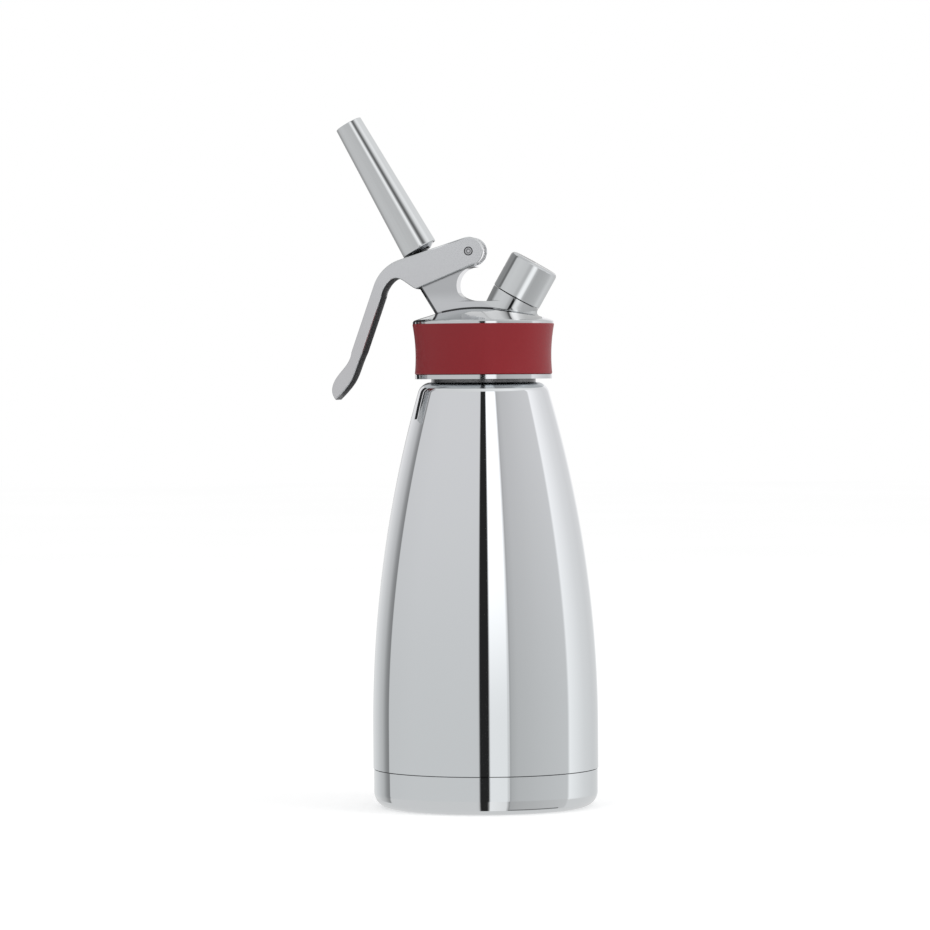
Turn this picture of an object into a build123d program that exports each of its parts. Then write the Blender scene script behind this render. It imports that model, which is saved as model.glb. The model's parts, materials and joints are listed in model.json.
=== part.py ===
from build123d import *
import os
from math import asin, atan2, cos, hypot, radians, sin, sqrt

# Insulated whipped cream dispenser, millimetres. Z is up, the origin is the centre of the foot.
# The nozzle and the lever lean to -X, the charger port leans to +X.

# ---- bottle ----
body_radius = 49.6         # outside of the shell where its side is straight
straight_height = 35.0     # the side is straight up to here
shoulder_height = 186.8    # flat top of the shell, round the neck
shoulder_radius = 27.57    # one long arc of the side runs up to here, before rounding
shoulder_round = 6.0
shell_wall = 0.9
vacuum_gap = 5.6           # between the two walls
vessel_wall = 1.0
vessel_floor_height = 14.0
vessel_floor_round = 14.0
base_inset = 0.3           # the base cup is this much slimmer than the shell
base_height = 16.6
base_wall = 1.2
base_floor = 1.5           # plate thickness over the recess
base_round = 7.0
base_groove = 0.5          # open line between base cup and shell
foot_recess_radius = 35.5
foot_recess_depth = 1.2
bottom_plate_lift = 1.0    # closing plate above the shell's lower end
bottom_step_radius = 31.0
bottom_step = 1.6
neck_radius = 23.0         # outside of the thread ring
neck_ring_wall = 2.1
neck_length = 19.2         # from shoulder to mouth
neck_chamfer = 0.8

# ---- head, turned part ----
head_gap = 1.4             # between shoulder and the head's lower lip
rim_radius = 30.3
rim_height = 1.6
lip_inset = 0.7            # these five are measured inwards from the rim
band_seat_inset = 2.9
band_top_inset = 0.35
band_waist_inset = 0.95
band_foot_inset = 0.55
lip_height = 1.9
band_height = 22.0
band_round = 0.7
rim_chamfer = 0.4
dome_radius = 80.0
dome_wall = 4.0
gasket_height = 2.4
gasket_width = 3.2
gasket_step = 0.2          # the hollow above is this much narrower than the gasket's hole

# ---- head, web and lever post ----
web_thickness = 12.8
web_floor_lift = 2.7       # flat of the web above the dome's top
post_side = 7.7            # stem axis to the post's outer side
post_corner_round = 2.3
post_top_drop = 15.3       # tip seat down to the top of the post
pivot_x = -5.3
pivot_lift = 24.6          # pivot above the dome's top
ear_radius = 5.6
pivot_pin_radius = 1.9
pivot_pin_chamfer = 0.3
ear_root = 9.0             # from the stem axis to where the ear starts
notch_radius = 8.2         # round throat between post and port
notch_x = -2.7
notch_lift = 9.6
web_sink = 0.6             # the web's foot lies this far below the top of the rim

# ---- lever ----
lever_width = 17.0
lever_end_radius = 6.3
arm_slope = 18.0           # of the arm's top edge, degrees
handle_corner = (-39.24, -6.3)     # from the pivot: arm turns into handle, before rounding
handle_bend_radius = 18.0
handle_straight_end = (-52.3, -44.1)
handle_flare = [(-55.1, -50.3), (-58.9, -55.0), (-60.95, -60.0)]
handle_toe = (-59.4, -64.9)
handle_inner_flare = [(-56.2, -61.6), (-52.4, -56.6), (-50.2, -51.6)]
handle_inner_start = (-47.2, -44.2)
handle_inner_end = (-38.6, -19.6)
handle_inner_bend = [(-35.9, -13.9), (-32.4, -11.6), (-28.0, -13.4)]
arm_heel = (-23.3, -16.4)
press_pad_radius = 6.0
press_pad_drop = 2.7       # pad centre below the tip seat
slot_top_drop = 6.9        # roof of the lever's slot below the tip seat
slot_back = 8.8            # slot reaches this far past the stem
stem_hole_radius = 3.9
stem_hole_stretch = 1.6    # the hole and pocket are this much longer towards the pivot
pocket_radius = 6.3        # round pocket in the arm's top for the adapter
pocket_drop = 3.2
bridge_end = 12.0          # arm is open from here to its end, measured from the stem
lever_edge_round = 0.7

# ---- stem axis and piston ----
stem_tilt = 29.5           # from upright, degrees
stem_offset = 19.2         # pivot to stem axis
stem_reach = 12.2          # pivot below the tip seat, along the stem
stem_radius = 3.0
stem_bore_radius = 2.0
stem_top = 6.0
stem_tail = 1.1            # stem below the valve foot
collar_radius = 5.9
collar_thickness = 2.4
spring_pocket_radius = 4.8
spring_pocket_depth = 9.0
spring_mean_radius = 4.0
spring_wire_radius = 0.45
spring_turns = 6
guide_length = 6.5
ring_gland_radius = 4.5
ring_gland_height = 1.8
chamber_radius = 4.3
seat_drop = 38.5           # valve seat below the tip seat
valve_boss_radius = 7.2
seal_radius = 5.5
seal_height = 1.6
foot_radius = 5.8
foot_thickness = 1.4
port_radius = 1.4
port_lift = 3.3            # cross holes above the valve seat

# ---- nozzle tip and its adapter ----
tip_length = 64.0
tip_foot_radius = 7.65
tip_mouth_radius = 5.9
outlet_radius = 4.5
outlet_length = 50.0
tip_socket_depth = 10.5
tip_edge_round = 0.35
adapter_radius = 5.4
adapter_height = 9.0
adapter_cone_radius = 6.9
adapter_cone_foot_radius = 4.6
adapter_cone_height = 1.5

# ---- charger port and cap ----
port_tilt = 29.5
cap_seat_x = 14.8
cap_seat_lift = 4.6        # cap rim centre above the dome's top
cap_radius = 10.7
cap_height = 17.0
cap_round = 1.8
cap_foot_chamfer = 0.35
cap_gap = 0.35             # open line under the cap
cap_roof = 2.8
boss_depth = 14.0          # the boss is rooted this far below the cap seat
boss_fillet = 1.8
stub_radius = 8.5
stub_height = 11.0
stub_chamfer = 0.6
recess_radius = 6.3
recess_floor = 3.0         # above the cap seat
holder_radius = 4.3
holder_length = 10.5
holder_head_radius = 5.4
holder_head_height = 1.6
pin_radius = 1.2
pin_point_height = 7.4     # above the cap seat
pin_bore_radius = 0.5
charger_seal_inner_radius = 3.0
charger_seal_height = 2.0
gas_bore_radius = 1.8
gas_boss_length = 5.0      # boss under the dome, past the holder
sleeve_wall = 0.7
sleeve_height = 3.0


# ---- clearances ----
slide_gap = 0.3            # between curved faces of pieces that come apart
running_gap = 0.05         # shafts in their holes
seam_gap = 0.05            # between fixed pieces
through = 1.0              # cutters run this far past the face they open
touch = 0.01               # places nearer than this count as one

# ---- levels worked out from the above ----
side_rise = shoulder_height - straight_height
side_step = body_radius - shoulder_radius
side_arc_radius = (side_rise**2 + side_step**2) / (2 * side_step)
base_radius = body_radius - base_inset
shell_foot = base_height + base_groove
mouth_height = shoulder_height + neck_length
lip_bottom = shoulder_height + head_gap
band_bottom = lip_bottom + lip_height
band_top = band_bottom + band_height
rim_top = band_top + rim_height
dome_top = rim_top + dome_radius - sqrt(dome_radius**2 - rim_radius**2)
seat_height = mouth_height + gasket_height
lip_radius = rim_radius - lip_inset
band_seat_radius = rim_radius - band_seat_inset
band_top_radius = rim_radius - band_top_inset
band_waist_radius = rim_radius - band_waist_inset
band_foot_radius = rim_radius - band_foot_inset
gasket_inner_radius = neck_radius - gasket_width
cavity_radius = gasket_inner_radius - gasket_step
neck_tube_radius = neck_radius - neck_ring_wall
mouth_radius = neck_tube_radius - vessel_wall
tail_radius = base_radius - base_wall - seam_gap
tail_bottom = foot_recess_depth + base_floor + base_round - base_wall + slide_gap
skirt_bore_radius = neck_radius + slide_gap
pivot_z = dome_top + pivot_lift
collar_drop = press_pad_drop + press_pad_radius + slide_gap
stem_foot_drop = seat_drop + seal_height + foot_thickness + stem_tail
port_drop = seat_drop - port_lift
tip_socket_radius = adapter_radius + slide_gap


def tilted(x, z, tilt):
    # place of an axis through (x, z) that leans by tilt degrees towards -X
    lean = radians(tilt)
    along = Plane(origin=(x, 0, z), x_dir=(cos(lean), 0, sin(lean)), z_dir=(-sin(lean), 0, cos(lean)))
    return along.location


def from_pivot(point):
    return (pivot_x + point[0], 0, pivot_z + point[1])


lean = radians(stem_tilt)
tip_seat_x = pivot_x - stem_offset * cos(lean) - stem_reach * sin(lean)
tip_seat_z = pivot_z - stem_offset * sin(lean) + stem_reach * cos(lean)
stem_place = tilted(tip_seat_x, tip_seat_z, stem_tilt)
port_place = tilted(cap_seat_x, dome_top + cap_seat_lift, -port_tilt)
seam_to_side = Rot(0, 0, 90)       # these two keep the seams of round faces off the boss fillet
seam_to_back = Rot(0, 0, 180)


def on_stem(across, along):
    # point in the XZ plane, across and along the stem axis from the tip seat
    return (
        tip_seat_x + across * cos(lean) - along * sin(lean),
        0,
        tip_seat_z + across * sin(lean) + along * cos(lean),
    )


def turned(points):
    # solid turned about Z from its (radius, height) corners
    outline = Polyline(*[(r, 0, z) for r, z in points], close=True)
    return revolve(make_face(outline), Axis.Z)


def disc(radius, bottom, top):
    return turned([(0, bottom), (radius, bottom), (radius, top), (0, top)])


def ring(inner, outer, bottom, top):
    return turned([(inner, bottom), (outer, bottom), (outer, top), (inner, top)])


def slab(edges, width):
    # flat outline in the XZ plane, given the same width to both sides
    return extrude(make_face(edges), width / 2, dir=(0, 1, 0), both=True)


def side_radius(z, inset):
    return body_radius - side_arc_radius + sqrt((side_arc_radius - inset) ** 2 - (z - straight_height) ** 2)


def side_height(radius, inset):
    reach = radius - body_radius + side_arc_radius
    return straight_height + sqrt((side_arc_radius - inset) ** 2 - reach**2)


def side_solid(inset, bottom, top):
    # bottle form a given distance inside the outer surface
    middle = (straight_height + top) / 2
    start, end = side_radius(straight_height, inset), side_radius(top, inset)
    lower = Polyline(
        (end, 0, top), (0, 0, top), (0, 0, bottom), (start, 0, bottom), (start, 0, straight_height)
    )
    curve = ThreePointArc(
        (start, 0, straight_height), (side_radius(middle, inset), 0, middle), (end, 0, top)
    )
    return revolve(make_face(lower.edges() + curve.edges()), Axis.Z)


def outer_edge(solid, height):
    # widest round edge at a height
    level = [e for e in solid.edges().filter_by(GeomType.CIRCLE) if abs(e.center().Z - height) < touch]
    return max(level, key=lambda e: e.radius)


def edges_beside(solid, point):
    # edges of a slab's two faces whose middle lies over a point of its outline
    return [
        e for e in solid.edges()
        if hypot(e.center().X - point[0], e.center().Z - point[2]) < touch and abs(e.center().Y) > touch
    ]


# ---- bottle ----
def make_outer_shell():
    outside = side_solid(0, shell_foot, shoulder_height)
    outside = fillet(outer_edge(outside, shoulder_height), shoulder_round)
    inside_top = shoulder_height - shell_wall
    inside = side_solid(shell_wall, shell_foot + shell_wall, inside_top)
    inside = fillet(outer_edge(inside, inside_top), shoulder_round - shell_wall)
    tail = ring(tail_radius - shell_wall, tail_radius, tail_bottom, shell_foot + shell_wall)
    neck_hole = disc(neck_radius, inside_top - through, shoulder_height + through)
    foot_hole = disc(tail_radius - shell_wall, shell_foot - through, shell_foot + shell_wall + through)
    return outside - inside - neck_hole - foot_hole + tail


def make_shell_bottom():
    edge, low = tail_radius - shell_wall, tail_bottom + bottom_plate_lift
    high = low + bottom_step
    outer = bottom_step_radius + bottom_step
    return turned([
        (0, high), (bottom_step_radius, high), (outer, low), (edge, low),
        (edge, low + shell_wall), (outer + shell_wall / 2, low + shell_wall),
        (bottom_step_radius + shell_wall / 2, high + shell_wall), (0, high + shell_wall),
    ])


def make_base_cup():
    cup = disc(base_radius, 0, base_height)
    cup = fillet(outer_edge(cup, 0), base_round)
    floor = foot_recess_depth + base_floor
    hollow = disc(base_radius - base_wall, floor, base_height + through)
    hollow = fillet(outer_edge(hollow, floor), base_round - base_wall)
    recess = turned([
        (0, -through), (foot_recess_radius, -through), (foot_recess_radius, 0),
        (foot_recess_radius - foot_recess_depth, foot_recess_depth), (0, foot_recess_depth),
    ])
    return cup - hollow - recess


def vessel_solid(inset, floor, tube_radius, top, floor_round):
    # belly and neck tube of the inner vessel as one turned form
    join = side_height(tube_radius, inset)
    middle = (straight_height + join) / 2
    start = side_radius(straight_height, inset)
    lower = Polyline(
        (tube_radius, 0, join), (tube_radius, 0, top), (0, 0, top), (0, 0, floor),
        (start, 0, floor), (start, 0, straight_height),
    )
    curve = ThreePointArc(
        (start, 0, straight_height), (side_radius(middle, inset), 0, middle), (tube_radius, 0, join)
    )
    solid = revolve(make_face(lower.edges() + curve.edges()), Axis.Z)
    return fillet(outer_edge(solid, floor), floor_round)


def make_inner_vessel():
    inset = shell_wall + vacuum_gap
    outside = vessel_solid(
        inset, vessel_floor_height, neck_tube_radius, mouth_height, vessel_floor_round
    )
    inside = vessel_solid(
        inset + vessel_wall, vessel_floor_height + vessel_wall, mouth_radius, mouth_height + through,
        vessel_floor_round - vessel_wall,
    )
    return outside - inside


def make_neck_ring():
    inset = shell_wall + vacuum_gap
    belly = vessel_solid(
        inset, vessel_floor_height, neck_tube_radius, mouth_height, vessel_floor_round
    )
    body = disc(neck_radius, shoulder_height - shell_wall, mouth_height)
    return chamfer(outer_edge(body, mouth_height), neck_chamfer) - belly


# ---- head ----
def make_head_gasket():
    return ring(gasket_inner_radius, neck_radius, mouth_height, seat_height)


def dome_cap(radius, apex, edge, foot):
    # ball cap above a plain cylinder
    drop = radius - sqrt(radius**2 - edge**2)
    half = edge / 2
    half_drop = radius - sqrt(radius**2 - half**2)
    curve = ThreePointArc((0, 0, apex), (half, 0, apex - half_drop), (edge, 0, apex - drop))
    sides = Polyline((edge, 0, apex - drop), (edge, 0, foot), (0, 0, foot), (0, 0, apex))
    return revolve(make_face(curve.edges() + sides.edges()), Axis.Z)


def make_head_shell():
    shell = dome_cap(dome_radius, dome_top, rim_radius, band_top)
    shell = chamfer(outer_edge(shell, rim_top), rim_chamfer)
    skirt = disc(band_seat_radius, band_bottom, band_top)
    lip = disc(lip_radius, lip_bottom, band_bottom)
    return seam_to_side * (shell + skirt + lip)


def make_web():
    # lever post, throat and low web in one outline, with the round ear for the pivot pin
    floor = dome_top + web_floor_lift
    throat_z = dome_top + notch_lift
    throat_x = notch_x - sqrt(notch_radius**2 - (throat_z - floor) ** 2)
    sunk = rim_top - web_sink
    side_foot = (sunk - tip_seat_z + post_side * sin(lean)) / cos(lean)
    outline = Polyline(
        (notch_x, 0, throat_z + notch_radius),
        (pivot_x, 0, pivot_z),
        on_stem(ear_root, -post_top_drop),
        on_stem(-post_side, -post_top_drop),
        on_stem(-post_side, side_foot),
        (cap_seat_x, 0, sunk),
        (cap_seat_x, 0, floor),
        (throat_x, 0, floor),
    )
    throat = ThreePointArc(
        (throat_x, 0, floor), (notch_x - notch_radius, 0, throat_z), (notch_x, 0, throat_z + notch_radius)
    )
    web = slab(outline.edges() + throat.edges(), web_thickness)
    outer_side = on_stem(-post_side, (side_foot - post_top_drop) / 2)
    web = fillet(edges_beside(web, outer_side), post_corner_round)
    ear = extrude(Plane.XZ * Circle(ear_radius), web_thickness / 2, both=True)
    return web + Pos(pivot_x, 0, pivot_z) * ear


def make_port_boss():
    return port_place * (seam_to_back * disc(cap_radius, -boss_depth, -cap_gap))


def make_cavity():
    # hollow under the dome, with the valve boss and the gas boss left standing in it
    hollow = dome_cap(dome_radius - dome_wall, dome_top - dome_wall, cavity_radius, seat_height)
    hollow += disc(skirt_bore_radius, lip_bottom - through, seat_height)
    valve_boss = stem_place * disc(valve_boss_radius, -seat_drop, -post_top_drop)
    gas_boss = port_place * disc(holder_head_radius, -holder_length - gas_boss_length, 0)
    return hollow - valve_boss - gas_boss


def make_stem_bores():
    pocket_floor = -post_top_drop - spring_pocket_depth
    chamber_top = pocket_floor - guide_length
    gland = chamber_top + guide_length / 2
    bores = turned([
        (0, -seat_drop - through), (chamber_radius, -seat_drop - through), (chamber_radius, chamber_top),
        (stem_radius + running_gap, chamber_top),
        (stem_radius + running_gap, gland - ring_gland_height / 2),
        (ring_gland_radius, gland - ring_gland_height / 2),
        (ring_gland_radius, gland + ring_gland_height / 2),
        (stem_radius + running_gap, gland + ring_gland_height / 2),
        (stem_radius + running_gap, pocket_floor), (spring_pocket_radius, pocket_floor),
        (spring_pocket_radius, -post_top_drop + through), (0, -post_top_drop + through),
    ])
    return stem_place * bores


def make_port_stub():
    stub = disc(stub_radius, -boss_depth / 2, stub_height)
    return port_place * chamfer(outer_edge(stub, stub_height), stub_chamfer)


def make_port_bores():
    bore_foot = -holder_length - gas_boss_length - through
    sleeve_foot = recess_floor - holder_length - sleeve_height
    return port_place * turned([
        (0, bore_foot), (gas_bore_radius, bore_foot),
        (gas_bore_radius, sleeve_foot), (holder_radius, sleeve_foot),
        (holder_radius, recess_floor - holder_head_height),
        (holder_head_radius, recess_floor - holder_head_height), (holder_head_radius, recess_floor),
        (recess_radius, recess_floor), (recess_radius, stub_height + through), (0, stub_height + through),
    ])


def make_head_body():
    body = make_head_shell() + make_port_boss()
    boss_foot = [e for e in body.edges().filter_by(GeomType.BSPLINE) if e.center().Z > rim_top]
    body = fillet(boss_foot, boss_fillet) + make_web() + make_port_stub()
    body = body - make_cavity() - make_stem_bores() - make_port_bores()
    pin_hole = extrude(Plane.XZ * Circle(pivot_pin_radius), lever_width, both=True)
    return body - Pos(pivot_x, 0, pivot_z) * pin_hole


def make_grip_band():
    middle = (band_bottom + band_top) / 2
    outside = ThreePointArc(
        (band_foot_radius, 0, band_bottom), (band_waist_radius, 0, middle), (band_top_radius, 0, band_top)
    )
    inside = Polyline(
        (band_top_radius, 0, band_top), (band_seat_radius, 0, band_top),
        (band_seat_radius, 0, band_bottom), (band_foot_radius, 0, band_bottom),
    )
    band = revolve(make_face(outside.edges() + inside.edges()), Axis.Z)
    return fillet([outer_edge(band, band_bottom), outer_edge(band, band_top)], band_round)


def make_pivot_pin():
    pin = extrude(Plane.XZ * Circle(pivot_pin_radius), lever_width / 2, both=True)
    ends = pin.edges().filter_by(GeomType.CIRCLE)
    return Pos(pivot_x, 0, pivot_z) * chamfer(ends, pivot_pin_chamfer)


# ---- lever ----
def lever_outline():
    slope = radians(arm_slope)
    crest = (-lever_end_radius * sin(slope), lever_end_radius * cos(slope))
    reach = hypot(*arm_heel)
    under = atan2(-arm_heel[1], -arm_heel[0]) - asin(lever_end_radius / reach)
    belly = (lever_end_radius * sin(under), -lever_end_radius * cos(under))
    top = FilletPolyline(
        from_pivot(crest), from_pivot(handle_corner), from_pivot(handle_straight_end),
        radius=handle_bend_radius,
    )
    flare = Spline(*[from_pivot(p) for p in [handle_straight_end] + handle_flare + [handle_toe]])
    return_flare = Spline(*[from_pivot(p) for p in [handle_toe] + handle_inner_flare + [handle_inner_start]])
    inner = Line(from_pivot(handle_inner_start), from_pivot(handle_inner_end))
    bend = Spline(*[from_pivot(p) for p in [handle_inner_end] + handle_inner_bend + [arm_heel]])
    bottom = Line(from_pivot(arm_heel), from_pivot(belly))
    end = ThreePointArc(from_pivot(belly), from_pivot((lever_end_radius, 0)), from_pivot(crest))
    edges = top.edges() + flare.edges() + return_flare.edges() + inner.edges()
    return edges + bend.edges() + bottom.edges() + end.edges()


def across_block(left, right, low, high, width):
    # block square to the stem axis, centred on the lever's middle plane
    corners = [on_stem(left, low), on_stem(right, low), on_stem(right, high), on_stem(left, high)]
    return slab(Polyline(*corners, close=True).edges(), width)


def stretched_hole(radius, low, high):
    # round hole along the stem, drawn out towards the pivot
    hole = SlotCenterToCenter(stem_hole_stretch, 2 * radius)
    return stem_place * (Pos(stem_hole_stretch / 2, 0, low) * extrude(hole, high - low))


def make_lever():
    lever = slab(lever_outline(), lever_width)
    lever = fillet(lever.faces().filter_by(Axis.Y).edges(), lever_edge_round)
    slot_width = web_thickness + 2 * slide_gap
    far = stem_offset + 2 * lever_end_radius
    slot = across_block(-slot_back, far, -slot_top_drop - far, -slot_top_drop, slot_width)
    slot += across_block(bridge_end, far, -slot_top_drop - far, far, slot_width)
    pad = extrude(Plane.XZ * Circle(press_pad_radius), slot_width / 2, both=True)
    pad_x, _, pad_z = on_stem(0, -press_pad_drop)
    pad_floor = -press_pad_drop - press_pad_radius
    under_arm = across_block(-press_pad_radius, press_pad_radius, pad_floor, -pocket_drop, slot_width)
    lever = lever - slot + (Pos(pad_x, 0, pad_z) * pad & under_arm)
    lever -= stretched_hole(pocket_radius, -pocket_drop, far)
    lever -= stretched_hole(stem_hole_radius, -slot_top_drop - far, far)
    pin_hole = extrude(Plane.XZ * Circle(pivot_pin_radius + running_gap), lever_width, both=True)
    return lever - Pos(pivot_x, 0, pivot_z) * pin_hole


# ---- piston ----
def make_piston():
    collar_foot = -collar_drop - collar_thickness
    foot_top = -seat_drop - seal_height
    stem = turned([
        (0, -stem_foot_drop), (stem_radius, -stem_foot_drop), (stem_radius, foot_top - foot_thickness),
        (foot_radius, foot_top - foot_thickness), (foot_radius, foot_top), (stem_radius, foot_top),
        (stem_radius, collar_foot), (collar_radius, collar_foot), (collar_radius, -collar_drop),
        (stem_radius, -collar_drop), (stem_radius, stem_top), (0, stem_top),
    ])
    bore = disc(stem_bore_radius, -port_drop - 2 * port_radius, stem_top + through)
    hole = extrude(Plane.XZ * Circle(port_radius), 2 * stem_radius, both=True)
    cross = Pos(0, 0, -port_drop) * (hole + Rot(0, 0, 90) * hole)
    return stem_place * (stem - bore - cross)


def make_valve_seal():
    return stem_place * ring(stem_radius, seal_radius, -seat_drop - seal_height, -seat_drop)


def make_stem_ring():
    section = (ring_gland_radius - stem_radius - running_gap - seam_gap) / 2
    middle = -post_top_drop - spring_pocket_depth - guide_length / 2
    return stem_place * (Pos(0, 0, middle) * Torus(stem_radius + running_gap + section, section))


def make_valve_spring():
    low = -post_top_drop - spring_pocket_depth + spring_wire_radius + running_gap
    high = -collar_drop - collar_thickness - spring_wire_radius - running_gap
    coil = Helix((high - low) / spring_turns, high - low, spring_mean_radius)
    start = Plane(origin=coil @ 0, z_dir=coil % 0)
    wire = sweep(start * Circle(spring_wire_radius), path=coil)
    return stem_place * (Pos(0, 0, low) * wire)


# ---- nozzle ----
def make_tip_adapter():
    inner = stem_radius + seam_gap
    return stem_place * turned([
        (inner, -adapter_cone_height), (adapter_cone_foot_radius, -adapter_cone_height),
        (adapter_cone_radius, 0), (adapter_radius, 0), (adapter_radius, adapter_height),
        (inner, adapter_height),
    ])


def make_nozzle_tip():
    outside = turned([(0, 0), (tip_foot_radius, 0), (tip_mouth_radius, tip_length), (0, tip_length)])
    outside = fillet([outer_edge(outside, 0), outer_edge(outside, tip_length)], tip_edge_round)
    throat = tip_length - outlet_length
    inside = turned([
        (0, -through), (tip_socket_radius, -through), (tip_socket_radius, tip_socket_depth),
        (outlet_radius, throat), (outlet_radius, tip_length + through), (0, tip_length + through),
    ])
    return stem_place * (outside - inside)


# ---- charger port ----
def make_pin_holder():
    foot, top = recess_floor - holder_length, recess_floor
    body = turned([
        (pin_radius, foot), (holder_radius, foot), (holder_radius, top - holder_head_height),
        (holder_head_radius, top - holder_head_height), (holder_head_radius, top), (pin_radius, top),
    ])
    return port_place * body


def make_piercing_pin():
    foot, shank_top = recess_floor - holder_length, recess_floor + charger_seal_height
    pin = turned([
        (pin_bore_radius, foot), (pin_radius, foot), (pin_radius, shank_top),
        (pin_bore_radius, pin_point_height),
    ])
    return port_place * pin


def make_charger_seal():
    outer, top = recess_radius - seam_gap, recess_floor + charger_seal_height
    return port_place * ring(charger_seal_inner_radius, outer, recess_floor, top)


def make_check_sleeve():
    # rubber cup between the pin holder and the floor of its bore
    outer, top = holder_radius - seam_gap, recess_floor - holder_length
    inner, foot = outer - sleeve_wall, top - sleeve_height + seam_gap
    return port_place * turned([
        (0, foot), (outer, foot), (outer, top), (inner, top),
        (inner, foot + sleeve_wall), (0, foot + sleeve_wall),
    ])


def make_port_cap():
    cap = disc(cap_radius, 0, cap_height)
    cap = fillet(outer_edge(cap, cap_height), cap_round)
    cap = chamfer(outer_edge(cap, 0), cap_foot_chamfer)
    return port_place * (cap - disc(stub_radius + slide_gap, -through, cap_height - cap_roof))


pieces = {
    "outer_shell": make_outer_shell,
    "shell_bottom": make_shell_bottom,
    "base_cup": make_base_cup,
    "inner_vessel": make_inner_vessel,
    "neck_ring": make_neck_ring,
    "head_gasket": make_head_gasket,
    "head_body": make_head_body,
    "grip_band": make_grip_band,
    "pivot_pin": make_pivot_pin,
    "lever": make_lever,
    "piston": make_piston,
    "valve_seal": make_valve_seal,
    "stem_ring": make_stem_ring,
    "valve_spring": make_valve_spring,
    "tip_adapter": make_tip_adapter,
    "nozzle_tip": make_nozzle_tip,
    "pin_holder": make_pin_holder,
    "piercing_pin": make_piercing_pin,
    "charger_seal": make_charger_seal,
    "check_sleeve": make_check_sleeve,
    "port_cap": make_port_cap,
}

os.makedirs("parts", exist_ok=True)
for name, make in pieces.items():
    export_step(make(), f"parts/{name}.step")
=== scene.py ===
import json
import math

import bpy
import bmesh
from mathutils import Matrix, Vector


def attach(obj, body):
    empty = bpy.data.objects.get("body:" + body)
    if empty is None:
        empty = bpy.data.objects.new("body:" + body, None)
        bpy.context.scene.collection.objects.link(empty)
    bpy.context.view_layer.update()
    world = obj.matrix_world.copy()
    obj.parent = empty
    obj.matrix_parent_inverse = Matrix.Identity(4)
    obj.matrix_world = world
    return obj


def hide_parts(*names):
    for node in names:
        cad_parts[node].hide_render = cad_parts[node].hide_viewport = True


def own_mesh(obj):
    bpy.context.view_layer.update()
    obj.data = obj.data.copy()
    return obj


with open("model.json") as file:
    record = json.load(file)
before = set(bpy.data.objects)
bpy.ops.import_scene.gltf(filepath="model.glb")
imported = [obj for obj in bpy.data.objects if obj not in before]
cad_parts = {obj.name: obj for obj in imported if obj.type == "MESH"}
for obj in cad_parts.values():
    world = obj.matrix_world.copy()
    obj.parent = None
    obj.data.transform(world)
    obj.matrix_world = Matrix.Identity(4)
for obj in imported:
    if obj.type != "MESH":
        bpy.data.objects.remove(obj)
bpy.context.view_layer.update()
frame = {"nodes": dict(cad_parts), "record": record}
nodes = frame["nodes"]
print("frame loaded", len(nodes), "nodes")

mm = 0.001
lean = math.radians(29.5)       # of the stem one way and the port the other


class Wire:
    # an output that can stand in a sum
    def __init__(self, graph, socket):
        self.graph, self.socket = graph, socket

    def __neg__(self):
        return self * -1.0

    def root(self):
        return self.graph.sum("SQRT", self)


def wireSum(operation, swapped=False):
    def made(self, other):
        return self.graph.sum(operation, *((other, self) if swapped else (self, other)))
    return made


for name, operation in {"add": "ADD", "sub": "SUBTRACT", "mul": "MULTIPLY", "truediv": "DIVIDE"}.items():
    setattr(Wire, "__" + name + "__", wireSum(operation))
    setattr(Wire, "__r" + name + "__", wireSum(operation, True))
for name, operation in {
    "__lt__": "LESS_THAN", "__gt__": "GREATER_THAN", "least": "MINIMUM", "most": "MAXIMUM",
}.items():
    setattr(Wire, name, wireSum(operation))


class Graph:
    def __init__(self, tree):
        self.tree = tree
        tree.nodes.clear()

    def sum(self, operation, *terms):
        return self.node("ShaderNodeMath", dict(enumerate(terms)), {"operation": operation})

    def node(self, kind, inputs=None, settings=None, output=0):
        made = self.tree.nodes.new(kind)
        for name, value in (settings or {}).items():
            setattr(made, name, value)
        for name, value in (inputs or {}).items():
            if isinstance(value, Wire):
                self.tree.links.new(value.socket, made.inputs[name])
            else:
                made.inputs[name].default_value = value
        return Wire(self, made.outputs[output]) if len(made.outputs) else made

    def split(self, wire):
        made = self.node("ShaderNodeSeparateXYZ", {0: wire}).socket.node
        return [Wire(self, out) for out in made.outputs]

    def smooth(self, wire, low, high):
        # 0 below low, 1 above high, eased between
        inputs = {"Value": wire, "From Min": low, "From Max": high}
        return self.node("ShaderNodeMapRange", inputs, {"interpolation_type": "SMOOTHSTEP"})

    def noise(self, where, scale, detail=3.0, roughness=0.5):
        inputs = {"Vector": where, "Scale": scale, "Detail": detail, "Roughness": roughness}
        return self.node("ShaderNodeTexNoise", inputs)

    def arrow(self, operation, *terms, output=0):
        return self.node("ShaderNodeVectorMath", dict(enumerate(terms)), {"operation": operation}, output)

    def dot(self, first, second):
        return self.arrow("DOT_PRODUCT", first, tuple(second), output=1)

    def bearing(self, across, ahead):
        # direction in degrees
        return self.sum("ARCTAN2", across, ahead) * (180 / math.pi)

    def mixColour(self, share, first, second):
        first, second = (c if isinstance(c, Wire) else (*c, 1) for c in (first, second))
        return self.node("ShaderNodeMix", {0: share, 6: first, 7: second}, {"data_type": "RGBA"}, 2)

    def show(self, kind, wire):
        self.tree.links.new(wire.socket, self.tree.nodes.new(kind).inputs[0])


def placed(data):
    # a new object in the scene, named like its data
    thing = bpy.data.objects.new(data.name, data)
    bpy.context.scene.collection.objects.link(thing)
    return thing


def meshOf(built, name):
    mesh = bpy.data.meshes.new(name)
    built.to_mesh(mesh)
    built.free()
    return mesh


def softened(mesh, angle):
    # smooth, and sharp where faces meet by more than the angle
    mesh.shade_smooth()
    mesh.set_sharp_from_angle(angle=math.radians(angle))
    return mesh


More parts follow.
